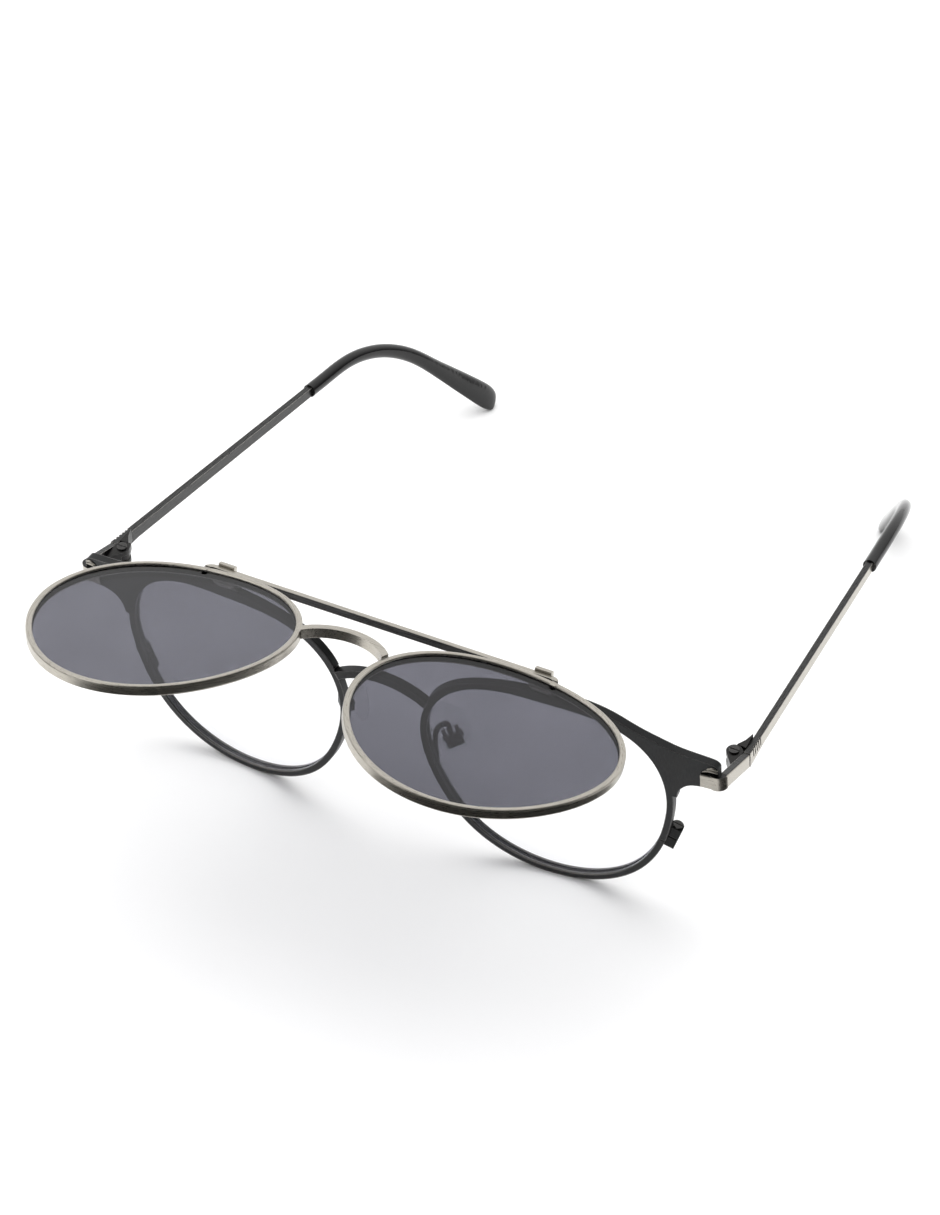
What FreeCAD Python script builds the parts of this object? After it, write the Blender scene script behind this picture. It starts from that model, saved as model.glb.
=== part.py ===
"""Flip-up sunglasses: a metal front with clear lenses, a hinged tinted clip, and folding temples.

Frame: +X is the wearer's left, +Y runs back along the temples, +Z is up. The glasses stand as they
are put down open, on the rim bottoms and the temple tips, with the clip flipped up. The origin is
on that surface, under the middle of the object.
"""
import FreeCAD, Part
import math
import os
import Sketcher
from FreeCAD import Placement, Rotation, Vector

os.makedirs("parts", exist_ok=True)
doc = FreeCAD.newDocument("FlipUpSunglasses")

# --- Driving dimensions, in millimetres and degrees -------------------------------------------
DIMENSIONS = {
    # stance
    "lean_angle": 6.996, "origin_back": 45.970, "origin_rise": 38.299, "wrap_angle": 5.3,
    # lens openings of the front: a circle eased towards a panto shape
    "lens_centre_across": 33.75, "lens_centre_drop": 13.75, "lens_radius": 23.8,
    "lens_widening": 0.6, "lens_slant": -0.54, "lens_panto": 1.2, "lens_squareness": -0.55,
    "rim_width": 1.35, "rim_depth": 1.7, "groove_depth": 0.4, "groove_width": 0.8,
    "solder_gap": 0.03,
    "lens_thickness": 1.4, "lens_play": 0.03,
    "brow_top": 10.2,
    # bridge of the front
    "bridge_span": 9.8, "bridge_crest": 1.9, "bridge_foot": -1.3, "bridge_height": 1.8,
    # end pieces
    "plate_end": 68.2, "pad_inner": 64.8, "pad_height": 3.4, "pad_thickness": 0.65,
    "side_outer": 69.35, "side_thickness": 1.35, "side_end": 17.0, "side_fall": 3.8,
    "corner_radius": 1.7, "end_piece_round": 0.3,
    # temple hinges
    "hinge_across": 66.3, "hinge_back": 16.6, "hinge_top": -3.5, "hinge_height": 3.5,
    "ear_radius": 1.55, "ear_height": 1.0, "knuckle_play": 0.05, "hinge_plate_start": 12.0,
    "screw_radius": 0.7, "screw_head_radius": 1.0, "screw_head_height": 0.35,
    # temples
    "joint_gap": 0.15, "arm_inset": 4.35, "arm_fall": 10.3, "arm_length": 70.9,
    "arm_thickness": 1.3, "arm_height_front": 3.4, "arm_height_back": 2.1,
    "arm_neck": 7.5, "arm_neck_under": 1.02, "core_radius": 0.55,
    "rib_depth": 0.25, "rib_pitch": 0.95, "rib_width": 0.42, "rib_start": 0.9, "rib_low": -0.4,
    "rib_slant": 0.9, "rib_count": 5,
    "tip_straight": 9.8, "tip_bend_radius": 37.7, "tip_bend_angle": 46.6, "tip_drop": 24.4,
    "tip_lean": 26.5, "tip_radius": 1.4, "sleeve_lead": 0.6, "core_end": 8.0,
    "paddle_half_width": 2.8, "paddle_half_depth": 1.15,
    # rim closing locks
    "lock_angle": -19.0, "lock_radius": 1.25, "lock_length": 2.7, "lock_gap": 0.3,
    "lock_screw_radius": 0.6, "lock_screw_back": 1.1, "lock_head_lip": 0.35,
    # nose pads
    "pad_pivot_across": 11.45, "pad_pivot_back": 7.0, "pad_pivot_drop": 14.2, "pad_turn": 42.0,
    "pad_splay": 14.0, "pad_half_height": 7.2, "pad_half_width": 3.8, "pad_half_depth": 1.3,
    "box_width": 3.4, "box_depth": 2.4, "box_height": 3.2, "box_wall": 0.75, "box_front": 0.9,
    "box_back_wall": 0.6, "box_corner": 0.5, "lug_radius": 0.72, "lug_reach": 2.2,
    "wire_radius": 0.55, "wire_gap": 0.2, "wire_start_across": 9.7, "wire_start_back": 3.21,
    "wire_start_drop": 18.2,
    "pad_screw_radius": 0.45, "pad_screw_end": 0.35, "pad_screw_head": 0.4,
    # flip hinges
    "flip_across": 33.6, "flip_back": 3.2, "flip_up": 12.2, "flip_angle": 107.0,
    "flip_bracket_width": 4.6, "flip_block_width": 3.4, "flip_eye_radius": 1.15,
    "flip_pin_radius": 0.45, "flip_block_reach": 3.6, "flip_block_top": 0.75,
    # clip
    "clip_forward": 6.35, "clip_centre_across": 33.6, "clip_centre_drop": 25.9, "clip_radius": 24.3,
    "clip_widening": 0.4, "clip_slant": 0.15, "clip_panto": 0.9, "clip_squareness": -0.06,
    "clip_rim_width": 1.25, "clip_rim_depth": 2.0, "clip_rim_round": 0.35,
    "clip_lens_thickness": 1.1,
    "clip_groove_depth": 0.45,
    "clip_bridge_span": 9.2, "clip_bridge_crest": -12.3, "clip_bridge_foot": -17.0,
    "clip_bridge_height": 1.5,
    "bar_height": 1.1, "bar_depth": 1.5, "bar_top": -0.45, "bar_front": 3.1, "bar_reach": 35.6,
    "bar_turn_radius": 1.9, "bar_foot": 1.0,
}

sheet = doc.addObject("Spreadsheet::Sheet", "Sheet")
for row, (alias, value) in enumerate(DIMENSIONS.items(), start=1):
    sheet.set("A%d" % row, alias)
    sheet.set("B%d" % row, str(value))
    sheet.setAlias("B%d" % row, alias)
doc.recompute()


def size(alias):
    """A driving dimension, read back from the sheet."""
    return float(sheet.get(alias))


# --- Frames -------------------------------------------------------------------------------------
X_AXIS, Y_AXIS, Z_AXIS = Vector(1, 0, 0), Vector(0, 1, 0), Vector(0, 0, 1)
SIDES = {"right": 1, "left": -1}   # as seen from the front: the wearer's left is at +X


def move(x=0.0, y=0.0, z=0.0):
    return Placement(Vector(x, y, z), Rotation())


def turn(axis, angle):
    return Placement(Vector(), Rotation(axis, angle))


STAND = move(0, -size("origin_back"), size("origin_rise")) * turn(X_AXIS, size("lean_angle"))


def front_frame(side):
    """The plane of one eye: X outwards, Y back from the front face, turned back by the wrap."""
    return STAND * turn(Z_AXIS, side * size("wrap_angle"))


def clip_frame():
    """The clip as if closed, about its hinge line, then flipped up."""
    return STAND * move(0, size("flip_back"), size("flip_up")) * turn(X_AXIS, -size("flip_angle"))


def clip_lens_frame(side):
    return clip_frame() * move(0, -size("clip_forward")) * turn(Z_AXIS, side * size("wrap_angle"))


# --- Building blocks ------------------------------------------------------------------------------
pieces = {}


def start_body(name):
    body = doc.addObject("PartDesign::Body", name)
    body.Label = name
    pieces[name] = body
    return body


def sketch_on(body, role, offset=None):
    """A sketch on one of the body's own planes, moved by a placement in that plane's frame."""
    sketch = body.newObject("Sketcher::SketchObject", body.Name + "_sketch")
    plane = next(item for item in body.Origin.OriginFeatures if item.Role == role)
    sketch.AttachmentSupport = (plane, [""])
    sketch.MapMode = "FlatFace"
    if offset is not None:
        sketch.AttachmentOffset = offset
    return sketch


def add_circle(sketch, x, y, radius_alias, grow=0.0):
    """A circle whose radius is bound to a cell of the sheet."""
    index = sketch.addGeometry(Part.Circle(Vector(x, y, 0), Z_AXIS, size(radius_alias) + grow), False)
    limit = sketch.addConstraint(Sketcher.Constraint("Radius", index, size(radius_alias) + grow))
    sketch.setExpression("Constraints[%d]" % limit, "Sheet.%s + %g" % (radius_alias, grow))


def add_polygon(sketch, points):
    corners = [Vector(x, y, 0) for x, y in points]
    for start, end in zip(corners, corners[1:] + corners[:1]):
        sketch.addGeometry(Part.LineSegment(start, end), False)


def add_box(sketch, low_x, high_x, low_y, high_y):
    add_polygon(sketch, [(low_x, low_y), (high_x, low_y), (high_x, high_y), (low_x, high_y)])


def add_closed_curve(sketch, points):
    curve = Part.BSplineCurve()
    curve.interpolate(Points=points, PeriodicFlag=True)
    sketch.addGeometry(curve, False)


def add_open_curve(sketch, points):
    curve = Part.BSplineCurve()
    curve.interpolate(Points=points)
    sketch.addGeometry(curve, False)


def pad(body, sketch, length, reverse=False, both=False):
    feature = body.newObject("PartDesign::Pad", body.Name + "_pad")
    feature.Profile = sketch
    feature.setExpression("Length", length)
    feature.Reversed = reverse
    feature.Midplane = both
    sketch.Visibility = False
    return feature


def pocket(body, sketch, length=None, reverse=False, both=False):
    """Cuts a sketch out of the body, right through where no length is given."""
    doc.recompute()
    before = body.Shape.Volume
    feature = body.newObject("PartDesign::Pocket", body.Name + "_pocket")
    feature.Profile = sketch
    if length is None:
        feature.Type = "ThroughAll"
        feature.Midplane = True
    else:
        feature.setExpression("Length", length)
        feature.Midplane = both
        feature.Reversed = reverse
    doc.recompute()
    if abs(body.Shape.Volume - before) < 1e-6:
        raise ValueError("%s: a pocket cut nothing" % body.Name)
    return feature


def round_edges(body, radius, chosen):
    """Fillets the edges that chosen(edge) picks from the body's present tip."""
    doc.recompute()
    base = body.Tip
    names = ["Edge%d" % number for number, edge in enumerate(base.Shape.Edges, start=1) if chosen(edge)]
    if not names:
        raise ValueError("%s: no edge to round" % body.Name)
    fillet = body.newObject("PartDesign::Fillet", body.Name + "_fillet")
    fillet.Base = (base, names)
    fillet.Radius = radius
    return fillet


# --- Lens outlines ----------------------------------------------------------------------------------
OUTLINE_POINTS = 24


def outline(side, grow=0.0, kind="lens"):
    """Points around one lens opening: a circle with a little of its second, third and fourth wave."""
    centre_x = size(kind + "_centre_across")
    centre_z = -size(kind + "_centre_drop")
    points = []
    for number in range(OUTLINE_POINTS):
        angle = 2 * math.pi * number / OUTLINE_POINTS
        radius = (size(kind + "_radius") + grow
                  + size(kind + "_widening") * math.cos(2 * angle)
                  + size(kind + "_slant") * math.sin(2 * angle)
                  + size(kind + "_panto") * math.sin(3 * angle)
                  + size(kind + "_squareness") * math.cos(4 * angle))
        x = centre_x + radius * math.cos(angle)
        points.append(Vector(side * x, centre_z + radius * math.sin(angle), 0))
    return points


def on_depth(y):
    """Offset of an XZ sketch to the depth y: that plane's normal points to -Y."""
    return move(0, 0, -y)


# --- Front: eyewires with the brow -------------------------------------------------------------------
def eyewire(hand, side):
    """A flat rim whose top widens into the brow and runs out to the end piece."""
    body = start_body(hand + "_eyewire")
    ring = sketch_on(body, "XZ_Plane")
    add_closed_curve(ring, outline(side, size("rim_width")))
    pad(body, ring, "Sheet.rim_depth", reverse=True)

    brow = sketch_on(body, "XZ_Plane")
    top = [(10.0, 0.4), (13.2, 4.7), (17.0, 7.2), (22.0, 8.9), (28.0, 9.9), (35.0, size("brow_top")),
           (42.0, 9.8), (47.5, 8.3), (52.0, 6.2), (57.0, 4.4), (59.6, 3.6), (62.8, 3.05), (66.4, 2.6),
           (67.6, 2.25), (size("plate_end"), 1.5)]
    add_open_curve(brow, [Vector(side * x, z, 0) for x, z in top])
    under = [(size("plate_end"), -3.3), (64.4, -4.0), (62.2, -4.6), (60.7, -6.0), (59.9, -8.6)]
    end_top = Vector(side * top[-1][0], top[-1][1], 0)
    end_low = Vector(side * under[0][0], under[0][1], 0)
    inside = Vector(side * 50.0, -10.0, 0)
    brow.addGeometry(Part.LineSegment(end_top, end_low), False)
    add_open_curve(brow, [Vector(side * x, z, 0) for x, z in under])
    last = Vector(side * under[-1][0], under[-1][1], 0)
    first = Vector(side * top[0][0], top[0][1], 0)
    brow.addGeometry(Part.LineSegment(last, inside), False)
    brow.addGeometry(Part.LineSegment(inside, first), False)
    pad(body, brow, "Sheet.rim_depth", reverse=True)

    opening = sketch_on(body, "XZ_Plane")
    add_closed_curve(opening, outline(side))
    pocket(body, opening)

    groove = sketch_on(body, "XZ_Plane", on_depth(size("rim_depth") / 2))
    add_closed_curve(groove, outline(side, size("groove_depth")))
    pocket(body, groove, "Sheet.groove_width", both=True)

    # the rim is cut through where the lock closes it round the lens
    slit = sketch_on(body, "XZ_Plane", on_depth(0))
    angle = math.radians(size("lock_angle"))
    half = size("lock_gap") / 2
    radial = Vector(side * math.cos(angle), math.sin(angle), 0)
    along = Vector(-side * math.sin(angle), math.cos(angle), 0)
    centre = Vector(side * size("lens_centre_across"), -size("lens_centre_drop"), 0)
    corners = [centre + radial * reach + along * shift
               for reach, shift in ((22, -half), (28, -half), (28, half), (22, half))]
    add_polygon(slit, [(corner.x, corner.y) for corner in corners])
    pocket(body, slit)
    body.Placement = front_frame(side)
    return body


def lens(name, side, kind, frame, mid_depth, tongue, thickness, groove):
    """A lens whose thinner edge sits in the rim's groove."""
    body = start_body(name)
    play = size("lens_play")
    edge = sketch_on(body, "XZ_Plane", on_depth(mid_depth))
    add_closed_curve(edge, outline(side, size(groove) - play, kind))
    pad(body, edge, tongue, both=True)
    middle = sketch_on(body, "XZ_Plane", on_depth(mid_depth))
    add_closed_curve(middle, outline(side, -play, kind))
    pad(body, middle, thickness, both=True)
    body.Placement = frame
    return body


def rim_trim(body, side, kind, rim, depth):
    """Cuts a body back to just clear of one rim, square to that rim's own turned plane."""
    trim = sketch_on(body, "XZ_Plane", on_depth(depth) * turn(Y_AXIS, side * size("wrap_angle")))
    add_closed_curve(trim, outline(side, rim + size("solder_gap"), kind))
    pocket(body, trim)


def arch(name, span, crest, foot, height, front, depth, frame, kind, rim, rim_plane):
    """A bridge cut from a ring, with its ends shaped to the two rims that it joins."""
    rise = crest - foot
    radius = (span ** 2 + rise ** 2) / (2 * rise)
    centre_z = crest - radius
    half_angle = math.asin(span / radius)
    body = start_body(name)
    profile = sketch_on(body, "XZ_Plane", on_depth(front))
    outer, inner = radius + height / 2, radius - height / 2
    ends = []
    for reach in (outer, inner):
        curve = Part.ArcOfCircle(Part.Circle(Vector(0, centre_z, 0), Z_AXIS, reach),
                                 math.pi / 2 - half_angle, math.pi / 2 + half_angle)
        profile.addGeometry(curve, False)
        ends.append([Vector(sign * reach * math.sin(half_angle),
                            centre_z + reach * math.cos(half_angle), 0) for sign in (1, -1)])
    for outer_end, inner_end in zip(*ends):
        profile.addGeometry(Part.LineSegment(outer_end, inner_end), False)
    pad(body, profile, depth, reverse=True)
    for side in SIDES.values():
        rim_trim(body, side, kind, rim, rim_plane)
    body.Placement = frame
    return body


# --- End pieces and temple hinges ---------------------------------------------------------------------
def end_piece(hand, side):
    """A cap on the brow's end that turns the corner and falls back to the temple joint."""
    body = start_body(hand + "_end_piece")
    wrap = math.radians(size("wrap_angle"))
    front = size("pad_thickness")
    play = 0.02

    def on_face(reach, depth):
        return Vector(reach * math.cos(wrap) - depth * math.sin(wrap),
                      reach * math.sin(wrap) + depth * math.cos(wrap), 0)

    outer = size("side_outer")
    inner = outer - size("side_thickness")
    corner_y = (outer * math.sin(wrap) - front) / math.cos(wrap)
    radius = size("corner_radius")
    face_in = on_face(size("pad_inner"), -front)
    before = on_face(outer * math.cos(wrap) - radius, -front)
    after = Vector(outer, corner_y + radius, 0)
    toward = Vector(outer - radius * 0.32, corner_y + radius * 0.26, 0)
    plan = sketch_on(body, "XY_Plane", move(0, 0, 2.0))

    def flip(point):
        return Vector(side * point.x, point.y, 0)

    plan.addGeometry(Part.LineSegment(flip(face_in), flip(before)), False)
    plan.addGeometry(Part.Arc(flip(before), flip(toward), flip(after)), False)
    rest = [after, Vector(outer, size("side_end"), 0), Vector(inner, size("side_end"), 0),
            Vector(inner, inner * math.tan(wrap) - play, 0), on_face(size("pad_inner"), -play), face_in]
    for start, end in zip(rest, rest[1:]):
        plan.addGeometry(Part.LineSegment(flip(start), flip(end)), False)
    pad(body, plan, "Sheet.pad_height + Sheet.side_fall + 4", reverse=True)

    # trimmed above and below to the falling side profile
    start_fall = corner_y + radius
    fall = size("side_fall")
    height = size("pad_height")
    end = size("side_end") + 1.0
    slope_end = -fall * (end - start_fall) / (size("side_end") - start_fall)
    above = sketch_on(body, "YZ_Plane")
    add_polygon(above, [(0, 0), (start_fall, 0), (end, slope_end), (end, 6), (0, 6)])
    pocket(body, above)
    below = sketch_on(body, "YZ_Plane")
    add_polygon(below, [(0, -height), (start_fall, -height), (end, slope_end - height),
                        (end, -20), (0, -20)])
    pocket(body, below)
    face_x = size("pad_inner") + 0.5

    def outside_edge(edge):
        middle = edge.CenterOfMass
        along_outside = abs(middle.x) > size("side_outer") - 0.3 and middle.y > 0
        across_front = abs(middle.x) > face_x and abs(edge.tangentAt(edge.FirstParameter).z) < 0.5
        in_front = middle.y < corner_y + radius and middle.y < abs(middle.x) * math.tan(wrap) - 0.3
        return edge.Length > 1.2 and (along_outside or (across_front and in_front))

    round_edges(body, size("end_piece_round"), outside_edge)
    body.Placement = STAND
    return body


def tangent_plate(sketch, side, centre, radius, start, end):
    """A plate outline that runs from a wall, from start to end along it, round a barrel."""
    reach = [Vector(point[0] - centre.x, point[1] - centre.y, 0) for point in (start, end)]
    touch = []
    for vector, sign in zip(reach, (-1, 1)):
        turned = math.acos(radius / vector.Length)
        base = math.atan2(vector.y, vector.x)
        angle = base + sign * turned
        touch.append(angle)
    first = centre + Vector(math.cos(touch[0]), math.sin(touch[0]), 0) * radius
    last = centre + Vector(math.cos(touch[1]), math.sin(touch[1]), 0) * radius
    far = centre + Vector(-radius, 0, 0)

    def flip(point):
        return Vector(side * point.x, point.y, 0)

    wall_start, wall_end = Vector(*start, 0), Vector(*end, 0)
    sketch.addGeometry(Part.LineSegment(flip(wall_start), flip(first)), False)
    sketch.addGeometry(Part.Arc(flip(first), flip(far), flip(last)), False)
    sketch.addGeometry(Part.LineSegment(flip(last), flip(wall_end)), False)
    sketch.addGeometry(Part.LineSegment(flip(wall_end), flip(wall_start)), False)


def hinge_front(hand, side):
    """Two ears behind the end piece, which hold the hinge screw."""
    body = start_body(hand + "_hinge_front")
    centre = Vector(size("hinge_across"), size("hinge_back"), 0)
    wall = size("side_outer") - size("side_thickness") - 0.02
    plate = sketch_on(body, "XY_Plane", move(0, 0, size("hinge_top")))
    tangent_plate(plate, side, centre, size("ear_radius"),
                  (wall, size("hinge_plate_start")), (wall, size("side_end")))
    pad(body, plate, "Sheet.hinge_height", reverse=True)
    slot = sketch_on(body, "XY_Plane", move(0, 0, size("hinge_top") - size("ear_height")))
    low, high = size("hinge_across") - 3, size("hinge_across") + 1.62
    edges = sorted((side * low, side * high))
    add_box(slot, edges[0], edges[1], size("hinge_back") - 1.62, size("hinge_back") + 3)
    pocket(body, slot, "Sheet.hinge_height - 2 * Sheet.ear_height")
    hole = sketch_on(body, "XY_Plane")
    add_circle(hole, side * centre.x, centre.y, "screw_radius", 0.03)
    pocket(body, hole)
    body.Placement = STAND
    return body


def hinge_screw(hand, side):
    """A slotted screw through both ears and the knuckle."""
    body = start_body(hand + "_hinge_screw")
    x, y = side * size("hinge_across"), size("hinge_back")
    shank = sketch_on(body, "XY_Plane", move(0, 0, size("hinge_top")))
    add_circle(shank, x, y, "screw_radius")
    pad(body, shank, "Sheet.hinge_height", reverse=True)
    head = sketch_on(body, "XY_Plane", move(0, 0, size("hinge_top")))
    add_circle(head, x, y, "screw_head_radius")
    pad(body, head, "Sheet.screw_head_height")
    slot = sketch_on(body, "XY_Plane", move(0, 0, size("hinge_top") + size("screw_head_height")))
    add_box(slot, x - 1.2, x + 1.2, y - 0.15, y + 0.15)
    pocket(body, slot, "Sheet.screw_head_height * 0.6")
    body.Placement = STAND
    return body


def temple_hinge(hand, side):
    """The temple's knuckle, between the ears, on a leaf along the inside of the arm."""
    body = start_body(hand + "_temple_hinge")
    x, y = size("hinge_across"), size("hinge_back")
    play = size("knuckle_play")
    top = size("hinge_top") - size("ear_height") - play
    knuckle = sketch_on(body, "XY_Plane", move(0, 0, top))
    radius = size("ear_radius") - 0.1

    def flip(px, py):
        return Vector(side * px, py, 0)

    knuckle.addGeometry(Part.Arc(flip(x - radius, y), flip(x, y - radius), flip(x + radius, y)), False)
    outline_points = [(x + radius, y), (x + radius, y + 2.6), (x - radius * 0.3, y + 2.6), (x - radius, y)]
    for start, end in zip(outline_points, outline_points[1:]):
        knuckle.addGeometry(Part.LineSegment(flip(*start), flip(*end)), False)
    pad(body, knuckle, "Sheet.hinge_height - 2 * Sheet.ear_height - 2 * Sheet.knuckle_play", reverse=True)

    def arm_inner(py):
        inset = math.radians(size("arm_inset"))
        half = size("side_thickness") / 2
        beyond = py - size("side_end") - size("joint_gap")
        return size("side_outer") - half - half / math.cos(inset) - beyond * math.tan(inset) - 0.02

    leaf = sketch_on(body, "XY_Plane", move(0, 0, size("hinge_top") - 0.25))
    near, far = y + 1.75, y + 5.6
    add_polygon(leaf, [(side * px, py) for px, py in
                       [(x - 0.3, y + 1.95), (arm_inner(near), near), (arm_inner(far), far),
                        (x + 0.7, y + 3.6)]])
    pad(body, leaf, "Sheet.hinge_height - 0.3", reverse=True)
    hole = sketch_on(body, "XY_Plane")
    add_circle(hole, side * x, y, "screw_radius", 0.04)
    pocket(body, hole)
    body.Placement = STAND
    return body


# --- Temples --------------------------------------------------------------------------------------------
def arm_frame(side):
    """At the joint, with Y along the arm, which falls and comes in towards its tip."""
    outer = size("side_outer") - size("side_thickness") / 2
    joint_height = -size("side_fall") - size("pad_height") / 2
    start = move(side * outer, size("side_end") + size("joint_gap"), joint_height)
    return STAND * start * turn(Z_AXIS, side * size("arm_inset")) * turn(X_AXIS, -size("arm_fall"))


def tip_offset(side):
    """Sketch offset of the plane that the temple's tip bends in: it leans inwards as it falls."""
    return turn(X_AXIS, side * size("tip_lean"))


def tip_route(start):
    """Straight, bend and drop of the tip, as the end points and the middle of its bend."""
    radius = size("tip_bend_radius")
    bend = math.radians(size("tip_bend_angle"))
    bend_start = start + size("tip_straight")
    middle = Vector(bend_start + radius * math.sin(bend / 2), -radius * (1 - math.cos(bend / 2)), 0)
    bend_end = Vector(bend_start + radius * math.sin(bend), -radius * (1 - math.cos(bend)), 0)
    drop = size("tip_drop")
    end = bend_end + Vector(math.cos(bend), -math.sin(bend), 0) * drop
    return Vector(bend_start, 0, 0), middle, bend_end, end


def temple_arm(hand, side):
    """A flat tapered bar with grooves behind the joint, and the wire core that fills the tip."""
    body = start_body(hand + "_temple_arm")
    length = size("arm_length")
    front, back = size("arm_height_front") / 2, size("arm_height_back") / 2
    profile = sketch_on(body, "YZ_Plane")
    slope = math.tan(math.radians(size("arm_fall")))
    end_of_bar = length - size("sleeve_lead") - 0.02
    add_polygon(profile, [(-front * slope, front), (front * slope, -front),
                          (size("arm_neck"), -size("arm_neck_under")),
                          (end_of_bar, -back), (end_of_bar, back)])
    pad(body, profile, "Sheet.arm_thickness", both=True)

    grooves = sketch_on(body, "YZ_Plane", move(0, 0, side * size("arm_thickness") / 2))
    above, low, width, slant = front + 0.5, size("rib_low"), size("rib_width"), size("rib_slant")
    for number in range(int(size("rib_count"))):
        start = size("rib_start") + number * size("rib_pitch")
        add_polygon(grooves, [(start, above), (start + width, above),
                              (start + width + slant, low), (start + slant, low)])
    pocket(body, grooves, "Sheet.rib_depth", reverse=(side < 0))

    bend_start, middle, bend_end, end = tip_route(length)
    spine = sketch_on(body, "YZ_Plane", tip_offset(side))
    core_start = end_of_bar - 0.5
    spine.addGeometry(Part.LineSegment(Vector(core_start, 0, 0), bend_start), False)
    spine.addGeometry(Part.Arc(bend_start, middle, bend_end), False)
    fall = (end - bend_end).normalize()
    spine.addGeometry(Part.LineSegment(bend_end, end - fall * size("core_end")), False)
    ring = sketch_on(body, "XZ_Plane", on_depth(core_start))
    add_circle(ring, 0, 0, "core_radius")
    pipe = body.newObject("PartDesign::AdditivePipe", body.Name + "_core")
    pipe.Profile = ring
    pipe.Spine = spine
    body.Placement = arm_frame(side)
    return body


def temple_tip(hand, side):
    """An acetate sleeve over the core: round along the bend, then flattened into a paddle."""
    body = start_body(hand + "_temple_tip")
    length = size("arm_length")
    bend_start, middle, bend_end, end = tip_route(length)
    bend = math.radians(size("tip_bend_angle"))
    radius = size("tip_bend_radius")
    half, width, depth = size("tip_radius"), size("paddle_half_width"), size("paddle_half_depth")
    drop = size("tip_drop")

    # stations: a point on the route, its angle round the bend, half width, half depth
    first = length - size("sleeve_lead")
    stations = []
    for share in (0.0, 0.33, 0.67, 1.0):
        stations.append((Vector(first + (bend_start.x - first) * share, 0, 0), 0.0, half, half))
    for share in (0.17, 0.33, 0.5, 0.67, 0.83, 1.0):
        angle = bend * share
        place = bend_start + Vector(radius * math.sin(angle), -radius * (1 - math.cos(angle)), 0)
        stations.append((place, angle, half + 0.28 * share ** 2, half - 0.1 * share))
    paddle = ((0.12, 0.64, 1.1), (0.3, 0.74, 1.05), (0.5, 0.86, 1.0), (0.68, 0.95, 1.0),
              (0.82, 1.0, 0.98), (0.94, 0.93, 0.86), (1.0, 0.72, 0.55))
    for share, wide, deep in paddle:
        place = bend_end + Vector(math.cos(bend), -math.sin(bend), 0) * (drop * share)
        stations.append((place, bend, width * wide, depth * deep))

    sections = []
    for place, angle, half_width, half_depth in stations:
        # from the sketch plane of the tip to a plane square to the route at this station
        square = move(place.x, place.y) * turn(Z_AXIS, -math.degrees(angle)) * turn(Y_AXIS, 90)
        section = sketch_on(body, "YZ_Plane", tip_offset(side) * square)
        # every section is an ellipse with its seam at the top, so the loft cannot twist
        ellipse = Part.Ellipse(Vector(0, half_width + 0.01, 0), Vector(-half_depth, 0, 0), Vector())
        section.addGeometry(ellipse, False)
        sections.append(section)
    loft = body.newObject("PartDesign::AdditiveLoft", body.Name + "_loft")
    loft.Profile = sections[0]
    loft.Sections = sections[1:]
    loft.Ruled = False
    doc.recompute()

    spine = sketch_on(body, "YZ_Plane", tip_offset(side))
    spine.addGeometry(Part.LineSegment(Vector(length - 1.2, 0, 0), bend_start), False)
    spine.addGeometry(Part.Arc(bend_start, middle, bend_end), False)
    fall = (end - bend_end).normalize()
    spine.addGeometry(Part.LineSegment(bend_end, end - fall * (size("core_end") - 0.1)), False)
    ring = sketch_on(body, "XZ_Plane", on_depth(length - 1.2))
    add_circle(ring, 0, 0, "core_radius", 0.03)
    before = body.Shape.Volume
    bore = body.newObject("PartDesign::SubtractivePipe", body.Name + "_bore")
    bore.Profile = ring
    bore.Spine = spine
    doc.recompute()
    if not body.Shape.Volume < before - 1:
        raise ValueError("%s: the bore cut nothing" % body.Name)
    body.Placement = arm_frame(side)
    return body


# --- Rim locks -----------------------------------------------------------------------------------------
def lock_frame(side):
    """Behind the rim, with Z along the rim and X outwards from the lens."""
    angle = size("lock_angle")
    reach = size("lens_radius") + size("rim_width") + 0.45
    x = size("lens_centre_across") + reach * math.cos(math.radians(angle))
    z = -size("lens_centre_drop") + reach * math.sin(math.radians(angle))
    return front_frame(side) * move(side * x, size("rim_depth"), z) * turn(Y_AXIS, -side * angle)


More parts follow.
